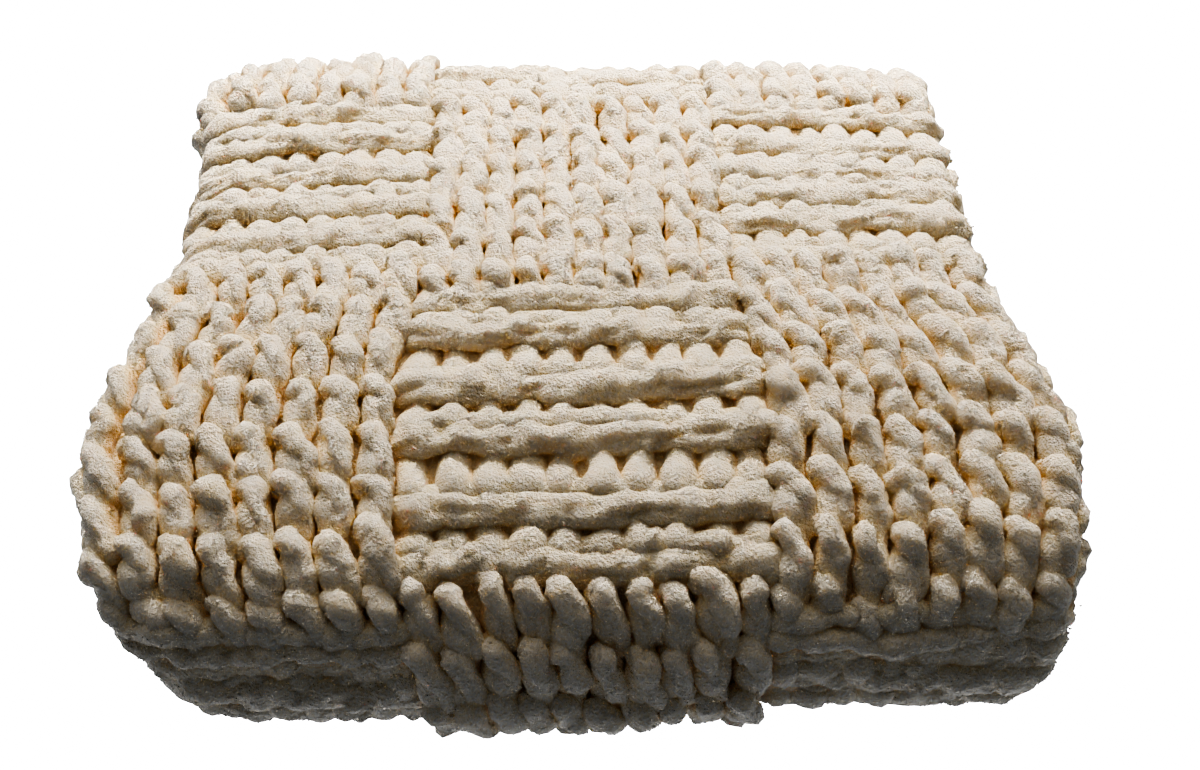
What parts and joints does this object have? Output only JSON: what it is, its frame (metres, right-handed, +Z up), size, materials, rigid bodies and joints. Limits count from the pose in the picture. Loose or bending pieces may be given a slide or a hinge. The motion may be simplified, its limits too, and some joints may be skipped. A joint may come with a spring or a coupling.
{
  "type": "folded crochet baby blanket",
  "caption": "Crochet baby blanket in chunky cream chenille yarn, worked in raised basketweave blocks and folded into a soft, round-edged packet.",
  "frame": {"origin": "middle of the packet's underside, on the surface it lies on", "axes": "+Z up, +X towards the open side edges, -Y towards the big front fold"},
  "size_m": [0.3476, 0.3164, 0.1071],
  "materials": {
    "chenille": "matte pile"
  },
  "bodies": {
    "root": {"blanket": "chenille"}
  },
  "joints": []
}
